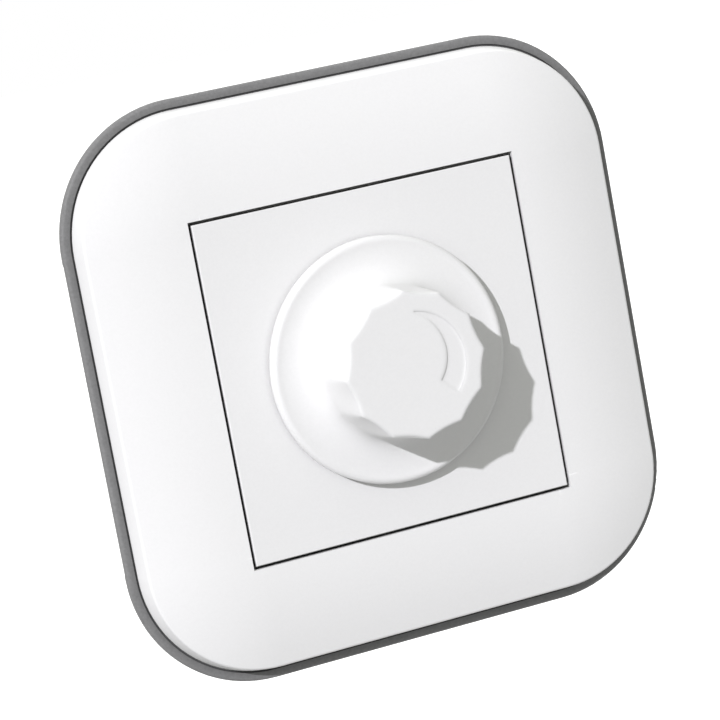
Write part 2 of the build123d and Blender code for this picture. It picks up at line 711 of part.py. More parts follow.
with BuildPart() as rear_case:
    with BuildSketch(facing(case_back)) as case_outline:
        Rectangle(CASE_SIZE, CASE_SIZE)
        chamfer(case_outline.vertices(), CASE_CHAMFER)
    extrude(amount=pot_front - case_back)
    fillet(rear_case.faces().sort_by(knob_axis)[0].edges(), CASE_EDGE)
    with BuildSketch(facing(floor_height)) as case_inside:
        Rectangle(2 * inside_half, 2 * inside_half)
        chamfer(case_inside.vertices(), inside_chamfer)
    extrude(amount=pot_front - floor_height, mode=Mode.SUBTRACT)
    with BuildSketch(facing(floor_height)):
        with Locations((-inside_half, 0), (inside_half, 0)):
            Rectangle(2 * SHELF_REACH, SHELF_WIDTH)
        with Locations((0, inside_half)):
            Rectangle(SHELF_WIDTH, 2 * SHELF_REACH)
    extrude(amount=REAR_SPACE)
    with BuildSketch(facing(floor_height)):
        with Locations(*screw_points):
            Circle(POST_DIAMETER / 2)
    extrude(amount=pot_front - floor_height)
    with BuildSketch(facing(pot_front)):
        with Locations(*screw_points):
            Circle(SCREW_SHANK / 2 + RUNNING)
    extrude(amount=-SCREW_LENGTH, mode=Mode.SUBTRACT)
    for side in (-1, 1):
        with BuildSketch(upright((0, 0, 1), (side * CASE_SIZE / 2, 0, 0))):
            with Locations(*vent_points):
                SlotOverall(VENT_LENGTH, VENT_WIDTH, rotation=90)
        extrude(amount=CASE_WALL, both=True, mode=Mode.SUBTRACT)
    with BuildSketch(facing(case_back)):
        with Locations(*wire_points):
            Circle(WIRE_HOLE / 2)
    extrude(amount=CASE_WALL, mode=Mode.SUBTRACT)
    with BuildSketch(upright((1, 0, 0), (0, 0, -CASE_SIZE / 2))):
        with Locations(*[(x, cage_middle) for x in terminal_points]):
            Circle(DRIVER_HOLE / 2)
    extrude(amount=CASE_WALL, both=True, mode=Mode.SUBTRACT)

# Circuit board: trapped between the shelves and the switch, notched round the posts
board_size = 2 * (inside_half - SLIP)

with BuildPart() as circuit_board:
    with BuildSketch(facing(board_back)) as board_outline:
        Rectangle(board_size, board_size)
        chamfer(board_outline.vertices(), inside_chamfer)
        with Locations(*screw_points):
            Circle(POST_DIAMETER / 2 + SLIP, mode=Mode.SUBTRACT)
    extrude(amount=BOARD_THICK)

# Triac: tab screwed to the heat sink, body and leads bent down to the board
tab_back = pot_front - TRIAC_TAB
lead_x = triac_start + TRIAC_LENGTH + LEAD_STEP
lead_points = [(lead_x, triac_mid + k * LEAD_PITCH) for k in (-1, 0, 1)]

with BuildPart() as triac:
    with BuildSketch(facing(tab_back)):
        with Locations((triac_start, triac_mid)):
            Rectangle(TRIAC_LENGTH, TRIAC_WIDTH, align=(Align.MIN, Align.CENTER))
        with Locations(triac_hole):
            Circle(TRIAC_SCREW / 2 + HOLE_CLEAR, mode=Mode.SUBTRACT)
    extrude(amount=TRIAC_TAB)
    with BuildSketch(facing(tab_back)):
        with Locations((triac_start + TRIAC_LENGTH, triac_mid)):
            Rectangle(TRIAC_BODY_LENGTH, TRIAC_WIDTH, align=(Align.MAX, Align.CENTER))
    extrude(amount=-TRIAC_BODY_THICK)
    with BuildSketch(facing(tab_back - TRIAC_BODY_THICK / 2)):
        with Locations(*lead_points):
            Rectangle(2 * LEAD_STEP + LEAD, LEAD, align=(Align.MAX, Align.CENTER))
    extrude(amount=LEAD)
    with BuildSketch(facing(tab_back - TRIAC_BODY_THICK / 2)):
        with Locations(*lead_points):
            Rectangle(LEAD, LEAD, align=(Align.MAX, Align.CENTER))
    extrude(amount=board_front - tab_back + TRIAC_BODY_THICK / 2)

triac_screw = screws(
    Plane(origin=facing(tab_back).origin, x_dir=(1, 0, 0), z_dir=-FRONT),
    [(triac_hole[0], -triac_hole[1])],
    TRIAC_SCREW_HEAD,
    SCREW_HEAD_THICK,
    TRIAC_SCREW,
    TRIAC_TAB + SINK_THICK - SLIP,
)
case_screws = screws(
    facing(STRAP_THICK),
    screw_points,
    SCREW_HEAD,
    SCREW_HEAD_THICK,
    SCREW_SHANK,
    STRAP_THICK + SCREW_LENGTH,
)

# Interference choke: a toroid standing on the board, wound most of the way round
choke_radius = CHOKE_OUTER / 2 + CHOKE_WIRE
choke_x = (POT_SIZE / 2 + inside_half) / 2
choke_center = board_front + choke_radius + RUNNING
choke_axis = Axis((choke_x, -choke_center, 0), (1, 0, 0))
choke_plane = upright((1, 0, 0), (choke_x, -choke_center, 0))
choke_ring = (CHOKE_OUTER - CHOKE_INNER) / 2
choke_mean = (CHOKE_OUTER + CHOKE_INNER) / 4
winding_inside = (CHOKE_WIDTH + 2 * RUNNING, choke_ring + 2 * RUNNING)

with BuildPart() as choke_core:
    with BuildSketch(choke_plane):
        with Locations((0, -choke_mean)):
            RectangleRounded(CHOKE_WIDTH, choke_ring, BOX_EDGE)
    revolve(axis=choke_axis)

with BuildPart() as choke_winding:
    with BuildSketch(choke_plane):
        with Locations((0, -choke_mean)):
            RectangleRounded(CHOKE_WIDTH + 2 * CHOKE_WIRE, choke_ring + 2 * CHOKE_WIRE, CHOKE_WIRE)
            RectangleRounded(*winding_inside, BOX_EDGE, mode=Mode.SUBTRACT)
    revolve(axis=choke_axis, revolution_arc=360 - CHOKE_OPEN_ANGLE)

# Capacitors on the board's front, with the diac and the resistors under the triac
film_x = -(POT_SIZE / 2 + inside_half) / 2
timing_z = -inside_half + TIMING_THICK / 2 + ROW_GAP
resistor_rows = [(0, triac_mid - AXIAL_PITCH), (0, triac_mid + AXIAL_PITCH)]


def boxed(x, z, width, length, tall):
    """Box-shaped component with rounded edges, standing on the board."""
    with BuildPart() as component:
        with BuildSketch(facing(board_front)):
            with Locations((x, z)):
                RectangleRounded(width, length, BOX_EDGE)
        extrude(amount=tall)
        fillet(component.faces().sort_by(knob_axis)[-1].edges(), BOX_EDGE)
    return component.part


def axial(points, diameter, length):
    """Axial components lying along X on the board, with leads bent down at both ends."""
    with BuildPart() as components:
        for x, z in points:
            middle = board_front + diameter / 2 + RUNNING
            lead_reach = length / 2 + LEAD_STEP
            with BuildSketch(upright((0, 0, 1), (x, -middle, z))):
                Circle(diameter / 2)
            extrude(amount=length / 2, both=True)
            with BuildSketch(upright((0, 0, 1), (x, -middle, z))):
                Rectangle(LEAD, LEAD)
            extrude(amount=lead_reach, both=True)
            with BuildSketch(facing(board_front)):
                with Locations((x - lead_reach, z), (x + lead_reach, z)):
                    Rectangle(LEAD, LEAD)
            extrude(amount=middle - board_front + LEAD / 2)
    return components.part


film_capacitor = boxed(film_x, 0, FILM_WIDTH, FILM_LENGTH, FILM_HEIGHT)
timing_capacitor = boxed(0, timing_z, TIMING_WIDTH, TIMING_THICK, TIMING_HEIGHT)
resistors = axial(resistor_rows, RESISTOR_DIAMETER, RESISTOR_LENGTH)
diac = axial([(0, triac_mid)], DIAC_DIAMETER, DIAC_LENGTH)

# Fuse: glass tube with two caps, each held in a sprung clip on the board
fuse_z = -POT_SIZE / 2 - FUSE_CLEAR - FUSE_CLIP - FUSE_DIAMETER / 2
fuse_height = board_front + FUSE_DIAMETER / 2 + 2 * FUSE_CLIP
fuse_half = FUSE_LENGTH / 2
cap_inside = FUSE_DIAMETER / 2 - FUSE_CAP_WALL


def fuse_plane(x):
    """Plane across the fuse at a place along it, with local y as height."""
    return upright((0, 0, 1), (x, -fuse_height, fuse_z))


with BuildPart() as fuse_tube:
    with BuildSketch(fuse_plane(0)):
        Circle(cap_inside - RUNNING)
        Circle(cap_inside - RUNNING - FUSE_GLASS, mode=Mode.SUBTRACT)
    extrude(amount=fuse_half - FUSE_CAP_WALL - RUNNING, both=True)

with BuildPart() as fuse_caps:
    for side in (-1, 1):
        with BuildSketch(fuse_plane(side * fuse_half)):
            Circle(FUSE_DIAMETER / 2)
        extrude(amount=-side * FUSE_CAP_LENGTH)
        with BuildSketch(fuse_plane(side * (fuse_half - FUSE_CAP_WALL))):
            Circle(cap_inside)
        extrude(amount=-side * FUSE_CAP_LENGTH, mode=Mode.SUBTRACT)

clip_radius = FUSE_DIAMETER / 2 + RUNNING
clip_arc = 360 - FUSE_CLIP_OPEN

with BuildPart() as fuse_clips:
    for side in (-1, 1):
        middle = side * (fuse_half - FUSE_CAP_LENGTH / 2)
        with BuildSketch(fuse_plane(middle)):
            with BuildLine():
                inner_arc = CenterArc((0, 0), clip_radius, 90 + FUSE_CLIP_OPEN / 2, clip_arc)
                outer_arc = CenterArc((0, 0), clip_radius + FUSE_CLIP, 90 + FUSE_CLIP_OPEN / 2, clip_arc)
                Line(inner_arc @ 0, outer_arc @ 0)
                Line(inner_arc @ 1, outer_arc @ 1)
            make_face()
        extrude(amount=FUSE_CLIP_WIDTH / 2, both=True)
        with BuildSketch(facing(board_front)):
            with Locations((middle, fuse_z)):
                Rectangle(FUSE_CLIP_WIDTH, FUSE_DIAMETER / 2)
        extrude(amount=fuse_height - clip_radius - FUSE_CLIP / 2 - board_front)
        with BuildSketch(fuse_plane(middle)):
            Circle(clip_radius)
        extrude(amount=FUSE_CLIP_WIDTH / 2, both=True, mode=Mode.SUBTRACT)

# Terminal block with its cages and clamping screws, between the board and the case's floor
cage_top = cage_bottom + CAGE_HEIGHT
cage_points = [(x, cage_bottom) for x in terminal_points]
screw_places = [(x, cage_middle) for x in terminal_points]
below = upright((1, 0, 0), (0, 0, cage_bottom))

with BuildPart() as terminal_block:
    with BuildSketch(facing(floor_height)):
        with Locations((0, block_bottom)):
            Rectangle(block_width, TERMINAL_HEIGHT, align=(Align.CENTER, Align.MIN))
    extrude(amount=REAR_SPACE)
    with BuildSketch(facing(cage_middle)):
        with Locations(*[(x, block_bottom) for x in terminal_points]):
            Rectangle(
                CAGE_WIDTH + 2 * SLIP,
                cage_top - block_bottom + SLIP,
                align=(Align.CENTER, Align.MIN),
            )
    extrude(amount=cage_depth / 2 + SLIP, both=True, mode=Mode.SUBTRACT)
    with BuildSketch(facing(floor_height)):
        with Locations(*wire_points):
            Circle(WIRE_HOLE / 2)
    extrude(amount=REAR_SPACE / 2, mode=Mode.SUBTRACT)

with BuildPart() as terminal_cages:
    with BuildSketch(facing(cage_middle)):
        with Locations(*cage_points):
            Rectangle(CAGE_WIDTH, CAGE_HEIGHT, align=(Align.CENTER, Align.MIN))
        with Locations(*[(x, cage_bottom + CAGE_WALL) for x in terminal_points]):
            Rectangle(
                CAGE_WIDTH - 2 * CAGE_WALL,
                CAGE_HEIGHT - 2 * CAGE_WALL,
                align=(Align.CENTER, Align.MIN),
                mode=Mode.SUBTRACT,
            )
    extrude(amount=cage_depth / 2, both=True)
    with BuildSketch(below):
        with Locations(*screw_places):
            Circle(CLAMP_SCREW / 2 + RUNNING)
    extrude(amount=CAGE_WALL, both=True, mode=Mode.SUBTRACT)

terminal_screws = screws(below, screw_places, CLAMP_HEAD, CLAMP_HEAD_THICK, CLAMP_SCREW, CLAMP_LENGTH)

os.makedirs("parts", exist_ok=True)
pieces = {
    "cover_frame": cover_frame.part,
    "base_frame": base_frame.part,
    "cover_plate": cover_plate.part,
    "knob": knob.part,
    "knob_spring": knob_spring.part,
    "shaft": shaft.part,
    "shaft_clip": shaft_clip.part,
    "bush": bush.part,
    "bush_nuts": bush_nuts.part,
    "bush_washer": bush_washer.part,
    "pot_case": pot_case.part,
    "rotor": rotor.part,
    "wiper": wiper.part,
    "track_board": track_board.part,
    "switch_case": switch_case.part,
    "switch_plunger": switch_plunger.part,
    "switch_spring": switch_spring.part,
    "support_strap": support_strap.part,
    "heat_sink": heat_sink.part,
    "rear_case": rear_case.part,
    "case_screws": case_screws,
    "circuit_board": circuit_board.part,
    "triac": triac.part,
    "triac_screw": triac_screw,
    "choke_core": choke_core.part,
    "choke_winding": choke_winding.part,
    "film_capacitor": film_capacitor,
    "timing_capacitor": timing_capacitor,
    "diac": diac,
    "resistors": resistors,
    "fuse_tube": fuse_tube.part,
    "fuse_caps": fuse_caps.part,
    "fuse_clips": fuse_clips.part,
    "terminal_block": terminal_block.part,
    "terminal_cages": terminal_cages.part,
    "terminal_screws": terminal_screws,
}
for name, piece in pieces.items():
    piece.label = name
    export_step(piece, f"parts/{name}.step")
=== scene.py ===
import json
import math

import bpy
from mathutils import Matrix, Vector
from mathutils.geometry import tessellate_polygon


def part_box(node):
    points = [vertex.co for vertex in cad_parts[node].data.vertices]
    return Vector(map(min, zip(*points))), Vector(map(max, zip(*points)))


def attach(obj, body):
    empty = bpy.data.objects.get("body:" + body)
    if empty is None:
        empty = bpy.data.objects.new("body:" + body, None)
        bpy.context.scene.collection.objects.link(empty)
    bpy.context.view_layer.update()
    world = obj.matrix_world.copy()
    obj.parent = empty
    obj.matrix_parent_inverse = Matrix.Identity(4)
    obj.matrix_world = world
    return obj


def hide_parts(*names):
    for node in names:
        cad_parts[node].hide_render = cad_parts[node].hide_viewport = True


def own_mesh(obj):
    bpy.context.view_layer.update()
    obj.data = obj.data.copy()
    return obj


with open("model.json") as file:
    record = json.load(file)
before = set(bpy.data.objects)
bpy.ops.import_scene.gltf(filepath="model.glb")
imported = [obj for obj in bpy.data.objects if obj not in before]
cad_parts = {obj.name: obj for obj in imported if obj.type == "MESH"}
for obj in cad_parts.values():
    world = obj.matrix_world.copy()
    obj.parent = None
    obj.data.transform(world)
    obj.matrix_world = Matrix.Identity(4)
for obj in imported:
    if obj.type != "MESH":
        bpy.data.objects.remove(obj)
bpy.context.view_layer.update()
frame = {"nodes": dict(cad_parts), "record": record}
nodes = frame["nodes"]

# Camera, solved from the corners of the square plate in the photograph
CAMERA_PLACE = (-0.160171, -0.432413, 0.068652)
CAMERA_RIGHT = (0.913460, -0.364467, -0.180984)
CAMERA_UP = (0.222010, 0.073627, 0.972260)
FOCAL_PIXELS = 3204.45
IMAGE_PIXELS = 720
SENSOR_MM = 36.0
NEAREST = 0.01
FARTHEST = 100.0

# Lamps: directions point from the object to the lamp, angles are in degrees
KEY_DIRECTION = (-0.624, -0.635, 0.455)
KEY_STRENGTH = 2.75
KEY_COLOUR = (1.0, 0.99, 1.04)
KEY_ANGLE = 1.2
BACK_DIRECTION = (0.3, 0.45, 0.84)
BACK_STRENGTH = 0.85
BACK_COLOUR = (1.0, 1.0, 1.0)
BACK_ANGLE = 25.0

# Fill light of the world, with a part that comes from one direction
FILL_ALL_ROUND = 0.2
FILL_FROM_ABOVE = 0.5
FILL_DIRECTION = (-0.3, -0.2, 0.93)
FILL_COLOUR = (1.0, 1.012, 0.955)

# Floor: half its width, its place below the part, its look for diffuse light and where it is seen
FLOOR_HALF = 8.0
FLOOR_DROP = 0.35
FLOOR_DULL = 0.34
FLOOR_PALE = 0.85
FLOOR_GLOW = 0.5

# Painted shade in gaps: they are painted darkest where the hidden share below of the sky, or less, is seen,
# and keep the darkest share below of their colour
GAP_SHADE_HIDDEN = 0.12
GAP_SHADE_DARKEST = 0.08
GAP_SHADE_SAMPLES = 16

# Other values that materials share
ROUNDING_SAMPLES = 12
RELIEF_STRENGTH = 0.5
NOISE_SPAN = (0.3, 0.7)
GLASS_IOR = 1.47

# Switch spring, in metres
SPRING_WIRE = 0.00035
SPRING_TURNS = 2.5
COIL_STEPS = 120
WIRE_SIDES = 10

# Knob, in metres: heights count from the skirt's underside, and pairs are a radius and a height.
# The foot's curve runs from its first pair to its last, guided by the two between them.
SKIRT_RISE = 0.00155
SKIRT_ROUND = 0.0007
SKIRT_ROUND_TURN = math.radians(112)
SKIRT_DISH = (0.0164, 0.00139)
FOOT_CURVE = ((0.0148, 0.00136), (0.0122, 0.00142), (0.01125, 0.00235), (0.01108, 0.00395))
GRIP_RADIUS = 0.0107
TOP_CHAMFER = 0.0001
FACETS = 12
FACET_DEPTH = 0.000615
FACET_SHARE_AT_FOOT = 0.2
CRESCENT_RADIUS = 0.0076
CRESCENT_WIDTH = 0.0032
CRESCENT_TIP = 0.00013
CRESCENT_DEPTH = 0.00015
CRESCENT_START = math.radians(-42)
CRESCENT_SWEEP = math.radians(124)
HOLLOW_FOOT = (0.009577, 0.00365)
HOLLOW_TOP = (0.008585, 0.00985)
HUB_RADIUS = 0.0048
HUB_BOTTOM = 0.0032
BORE_RADIUS = 0.00315
BORE_FLAT = 0.00205
BORE_TOP = 0.0097
HUB_RIBS = 4
RIB_HALF = 0.0005
RIB_BOTTOM = 0.0042
RIB_INSIDE = 0.0003
EDGE_ROUNDING = 0.0009
SHARP_ANGLE = math.radians(25)
RING_STEPS = 360
ROUND_STEPS = 14
FOOT_STEPS = 24
GRIP_STEPS = 16
CRESCENT_STEPS = 60


def add(tree, kind, place, inputs=None, **settings):
    """Adds a shader node with its settings and the plain values of its inputs."""
    node = tree.nodes.new(kind)
    node.location = place
    for name, value in settings.items():
        setattr(node, name, value)
    for name, value in (inputs or {}).items():
        node.inputs[name].default_value = value
    return node


def blank_tree(data):
    """Empties a material's or the world's node tree."""
    data.use_nodes = True
    data.node_tree.nodes.clear()
    return data.node_tree


def paint_gap_shade(tree, colour, width, unshaded_share):
    """Paints shade into a colour in gaps up to a width, where less than a share of the sky is seen."""
    hidden = add(tree, "ShaderNodeAmbientOcclusion", (-250, 400), {"Distance": width}, samples=GAP_SHADE_SAMPLES)
    open_range = {"From Min": GAP_SHADE_HIDDEN, "From Max": unshaded_share, "To Min": GAP_SHADE_DARKEST}
    open_share = add(tree, "ShaderNodeMapRange", (0, 400), open_range)
    shade = add(tree, "ShaderNodeMixRGB", (200, 300), {"Fac": 1.0}, blend_type="MULTIPLY")
    tree.links.new(hidden.outputs["AO"], open_share.inputs["Value"])
    tree.links.new(colour, shade.inputs["Color1"])
    tree.links.new(open_share.outputs["Result"], shade.inputs["Color2"])
    return shade.outputs["Color"]


def surface(
    name,
    dark,
    light,
    rough,
    grain,
    metallic=0.0,
    relief=0.0,
    specular=0.5,
    detail=3.0,
    gap_shade=None,
    rounding=0.0,
):
    """Material whose colour, roughness and relief vary with a noise in the object's own coordinates.

    grain gives the noise's cells per metre along X, Y and Z, and rough the lowest and highest roughness.
    relief is the height in metres of the noise's bumps. The argument for gaps gives the width in metres of
    the gaps into which shade is painted, darkening the colour, and the share of the sky that leaves it
    unshaded. rounding is the radius in metres to which edges look rounded.
    """
    material = bpy.data.materials.new(name)
    tree = blank_tree(material)
    out = add(tree, "ShaderNodeOutputMaterial", (700, 0))
    plain_values = {"Metallic": metallic, "Specular IOR Level": specular}
    shader = add(tree, "ShaderNodeBsdfPrincipled", (400, 0), plain_values)
    place = add(tree, "ShaderNodeTexCoord", (-900, 0))
    stretch = add(tree, "ShaderNodeMapping", (-700, 0), {"Scale": grain})
    noise = add(tree, "ShaderNodeTexNoise", (-500, 0), {"Scale": 1.0, "Detail": detail})
    ramp = add(tree, "ShaderNodeValToRGB", (-250, 150))
    for stop, position, tone in zip(ramp.color_ramp.elements, NOISE_SPAN, (dark, light)):
        stop.position = position
        stop.color = (*tone, 1.0)
    gloss = add(tree, "ShaderNodeMapRange", (-250, -120), {"To Min": rough[0], "To Max": rough[1]})
    tree.links.new(place.outputs["Object"], stretch.inputs["Vector"])
    tree.links.new(stretch.outputs["Vector"], noise.inputs["Vector"])
    tree.links.new(noise.outputs["Fac"], ramp.inputs["Fac"])
    tree.links.new(noise.outputs["Fac"], gloss.inputs["Value"])
    colour = ramp.outputs["Color"]
    # Painted shade: the colour is darkened in gaps where little of the sky is seen
    if gap_shade:
        colour = paint_gap_shade(tree, colour, *gap_shade)
    tree.links.new(colour, shader.inputs["Base Color"])
    tree.links.new(gloss.outputs["Result"], shader.inputs["Roughness"])
    if relief > 0:
        bump = add(tree, "ShaderNodeBump", (100, -300), {"Strength": RELIEF_STRENGTH, "Distance": relief})
        tree.links.new(noise.outputs["Fac"], bump.inputs["Height"])
        tree.links.new(bump.outputs["Normal"], shader.inputs["Normal"])
    if rounding > 0:
        worn = add(tree, "ShaderNodeBevel", (100, -450), {"Radius": rounding}, samples=ROUNDING_SAMPLES)
        tree.links.new(worn.outputs["Normal"], shader.inputs["Normal"])
    tree.links.new(shader.outputs["BSDF"], out.inputs["Surface"])
    return material


def clear_glass(name, tint, grain):
    """Thin clear glass with a faint unevenness in its roughness."""
    material = surface(name, tint, tint, (0.02, 0.08), grain)
    shader = material.node_tree.nodes["Principled BSDF"]
    shader.inputs["Transmission Weight"].default_value = 1.0
    shader.inputs["IOR"].default_value = GLASS_IOR
    return material


even = (700, 700, 700)
fine = (2500, 2500, 2500)
plate_white = {"dark": (0.825, 0.825, 0.822), "light": (0.842, 0.842, 0.839)}
# Painted light: the frame's copy of the plate's white is made lighter where the lamps leave the frame too
# dark
frame_white_painted_lighter = {"dark": (0.855, 0.855, 0.852), "light": (0.872, 0.872, 0.869)}
# The white mouldings get painted shade in their gaps, such as round the plate
moulded = {"rough": (0.46, 0.58), "grain": fine, "specular": 0.35, "gap_shade": (0.0015, 0.3)}
materials = {
    "white_plastic": surface("white_plastic", **plate_white, **moulded),
    "frame_plastic_painted_light": surface("frame_plastic_painted_light", **frame_white_painted_lighter, **moulded),
    "knob_plastic": surface("knob_plastic", **plate_white, **moulded, rounding=EDGE_ROUNDING),
    "grey_plastic": surface(
        "grey_plastic",
        (0.19, 0.19, 0.19),
        (0.23, 0.23, 0.23),
        (0.5, 0.65),
        fine,
        specular=0.3,
        # painted shade on the rim where it is partly hidden from the sky, as next to the cover
        gap_shade=(0.002, 0.95),
    ),
    "dark_plastic": surface(
        "dark_plastic", (0.035, 0.035, 0.038), (0.055, 0.055, 0.06), (0.42, 0.6), fine, relief=0.00003
    ),
    "black_plastic": surface("black_plastic", (0.02, 0.02, 0.02), (0.035, 0.035, 0.035), (0.4, 0.55), fine),
    "pale_plastic": surface("pale_plastic", (0.72, 0.70, 0.62), (0.77, 0.75, 0.68), (0.4, 0.5), even),
    "terminal_plastic": surface("terminal_plastic", (0.58, 0.57, 0.54), (0.65, 0.64, 0.6), (0.4, 0.55), even),
    "board": surface("board", (0.30, 0.20, 0.09), (0.38, 0.27, 0.13), (0.45, 0.6), (300, 300, 1200)),
    "steel": surface(
        "steel",
        (0.47, 0.47, 0.48),
        (0.6, 0.6, 0.61),
        (0.28, 0.45),
        (120, 900, 2600),
        metallic=1.0,
        detail=6.0,
    ),
    "spring_steel": surface(
        "spring_steel", (0.38, 0.38, 0.39), (0.48, 0.48, 0.49), (0.2, 0.35), fine, metallic=1.0
    ),
    "aluminium": surface(
        "aluminium",
        (0.6, 0.61, 0.63),
        (0.72, 0.73, 0.74),
        (0.3, 0.48),
        (2400, 900, 140),
        metallic=1.0,
        detail=6.0,
    ),
    "brass": surface("brass", (0.65, 0.48, 0.2), (0.76, 0.58, 0.28), (0.22, 0.38), fine, metallic=1.0),
    "nickel": surface("nickel", (0.64, 0.63, 0.6), (0.72, 0.71, 0.68), (0.12, 0.25), fine, metallic=1.0),
    "ferrite": surface("ferrite", (0.08, 0.08, 0.085), (0.14, 0.14, 0.145), (0.6, 0.8), fine, relief=0.00004),
    "copper": surface(
        "copper", (0.5, 0.18, 0.07), (0.68, 0.3, 0.14), (0.2, 0.35), (150, 2600, 2600), metallic=1.0
    ),
    "film_case": surface("film_case", (0.66, 0.5, 0.07), (0.74, 0.6, 0.12), (0.3, 0.45), even),
    "lacquer": surface("lacquer", (0.48, 0.24, 0.1), (0.6, 0.34, 0.17), (0.22, 0.38), even),
    "fuse_glass": clear_glass("fuse_glass", (0.92, 0.95, 0.95), even),
}
# The frame wears a lighter copy of the white plastic as painted light, and the knob a copy with
# rounded-looking edges
own_looks = {"cover_frame": "frame_plastic_painted_light", "knob": "knob_plastic"}
for part in frame["record"]["subparts"]:
    mesh = nodes[part["node"]].data
    mesh.materials.clear()
    mesh.materials.append(materials[own_looks.get(part["node"], part["material_slot"])])


def add_piece(name, points, faces, look):
    """Makes an object of points and faces, with one material."""
    piece_mesh = bpy.data.meshes.new(name)
    piece_mesh.from_pydata(points, [], faces)
    piece_mesh.materials.append(look)
    piece = bpy.data.objects.new(name, piece_mesh)
    bpy.context.scene.collection.objects.link(piece)
    return piece


def wire_coil(radius, start, rise):
    """Points and faces of a closed wire that winds round the Y axis."""
    points = []
    slope = rise / (2 * math.pi * SPRING_TURNS * radius)
    for step in range(COIL_STEPS + 1):
        angle = 2 * math.pi * SPRING_TURNS * step / COIL_STEPS
        outward = Vector((math.cos(angle), 0.0, math.sin(angle)))
        along = Vector((-math.sin(angle), slope, math.cos(angle)))
        sideways = along.normalized().cross(outward)
        middle = radius * outward + Vector((0.0, start + rise * step / COIL_STEPS, 0.0))
        for side in range(WIRE_SIDES):
            turn = 2 * math.pi * side / WIRE_SIDES
            points.append(middle + SPRING_WIRE / 2 * (math.cos(turn) * outward + math.sin(turn) * sideways))
    last_ring = COIL_STEPS * WIRE_SIDES
    faces = [tuple(reversed(range(WIRE_SIDES))), tuple(range(last_ring, last_ring + WIRE_SIDES))]
    for this_ring in range(0, last_ring, WIRE_SIDES):
        next_ring = this_ring + WIRE_SIDES
        for side in range(WIRE_SIDES):
            follow = (side + 1) % WIRE_SIDES
            faces.append((this_ring + side, this_ring + follow, next_ring + follow, next_ring + side))
    return points, faces


# Switch spring: the coil as a mesh of the scene, because it shortens as the knob is pushed in
spring_low, spring_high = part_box("switch_spring")
coil_points, coil_faces = wire_coil(
    radius=spring_high[0] - SPRING_WIRE / 2,
    start=spring_low[1] + SPRING_WIRE / 2,
    rise=spring_high[1] - spring_low[1] - SPRING_WIRE,
)
coil = add_piece("switch_spring_coil", coil_points, coil_faces, materials["spring_steel"])
coil.data.polygons.foreach_set("use_smooth", [len(face) == 4 for face in coil_faces])
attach(coil, "housing")
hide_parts("switch_spring")
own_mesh(coil)


class LoopMesh:
    """Points and faces between closed loops, each of which lies at one height in front of a plane."""

    def __init__(self, base):
        self.base = base
        self.points = []
        self.faces = []

    def loop(self, outline, height):
        """Adds a loop with the X and Z of its points, and gives the points' numbers."""
        first = len(self.points)
        self.points.extend((x, self.base - height, z) for x, z in outline)
        return list(range(first, len(self.points)))

    def join(self, low, high):
        """Adds the faces between two loops with the same number of points."""
        for k, point in enumerate(low):
            follow = (k + 1) % len(low)
            self.faces.append((point, low[follow], high[follow], high[k]))

    def fill(self, *loops):
        """Fills the first loop with triangles that face forwards, and leaves the other loops open."""
        numbers = [number for loop in loops for number in loop]
        rims = [[Vector(self.points[number]) for number in loop] for loop in loops]
        for triangle in tessellate_polygon(rims):
            a, b, c = (numbers[corner] for corner in triangle)
            across = Vector(self.points[b]) - Vector(self.points[a])
            onward = Vector(self.points[c]) - Vector(self.points[a])
            self.faces.append((a, b, c) if across.cross(onward).y < 0 else (a, c, b))


def turned(along, side, angle):
    """X and Z of a point that lies so far along a direction from the knob's axis, and beside it."""
    return (
        along * math.cos(angle) - side * math.sin(angle),
        along * math.sin(angle) + side * math.cos(angle),
    )


def ring(radius, depth=0.0, flat=math.inf):
    """Outline of the knob at one height: a circle that dips in each facet, or is cut off by a flat.

    The ridges between the facets are sharp at their full depth, and softer where they are shallow.
    """
    softness = 2 - depth / FACET_DEPTH
    outline = []
    for step in range(RING_STEPS):
        across_facet = 2 * (FACETS * step / RING_STEPS % 1) - 1
        reach = radius - depth * (1 - across_facet**2) ** softness
        x, z = turned(reach, 0.0, 2 * math.pi * step / RING_STEPS)
        outline.append((x, max(z, -flat)))
    return outline


def inside_sections():
    """Outlines and heights from the end of the bore, round the hub and hollow, to the skirt's underside."""
    bore = ring(BORE_RADIUS, flat=BORE_FLAT)
    hub = ring(HUB_RADIUS)
    hollow = ring(HOLLOW_FOOT[0])
    return [
        (bore, BORE_TOP),
        (bore, HUB_BOTTOM),
        (hub, HUB_BOTTOM),
        (hub, HOLLOW_TOP[1]),
        (ring(HOLLOW_TOP[0]), HOLLOW_TOP[1]),
        (hollow, HOLLOW_FOOT[1]),
        (hollow, 0.0),
    ]


def outside_sections(skirt_radius, knob_height):
    """Outlines and heights from the skirt's lower edge over its rim and the foot up to the top's edge."""
    sections = [(ring(skirt_radius), 0.0)]
    for step in range(ROUND_STEPS + 1):
        turn = SKIRT_ROUND_TURN * step / ROUND_STEPS
        radius = skirt_radius - SKIRT_ROUND * (1 - math.cos(turn))
        sections.append((ring(radius), SKIRT_RISE - SKIRT_ROUND * (1 - math.sin(turn))))
    sections.append((ring(SKIRT_DISH[0]), SKIRT_DISH[1]))
    for step in range(FOOT_STEPS + 1):
        t = step / FOOT_STEPS
        shares = ((1 - t) ** 3, 3 * t * (1 - t) ** 2, 3 * t**2 * (1 - t), t**3)
        radius, height = (sum(share * point[k] for share, point in zip(shares, FOOT_CURVE)) for k in range(2))
        sections.append((ring(radius, FACET_DEPTH * FACET_SHARE_AT_FOOT * t**2), height))
    foot_radius, foot_height = FOOT_CURVE[-1]
    for step in range(1, GRIP_STEPS + 1):
        t = step / GRIP_STEPS
        radius = foot_radius + t * (GRIP_RADIUS - foot_radius)
        height = foot_height + t * (knob_height - TOP_CHAMFER - foot_height)
        depth = FACET_DEPTH * (FACET_SHARE_AT_FOOT + t * (1 - FACET_SHARE_AT_FOOT))
        sections.append((ring(radius, depth), height))
    sections.append((ring(GRIP_RADIUS - TOP_CHAMFER, FACET_DEPTH), knob_height))
    return sections


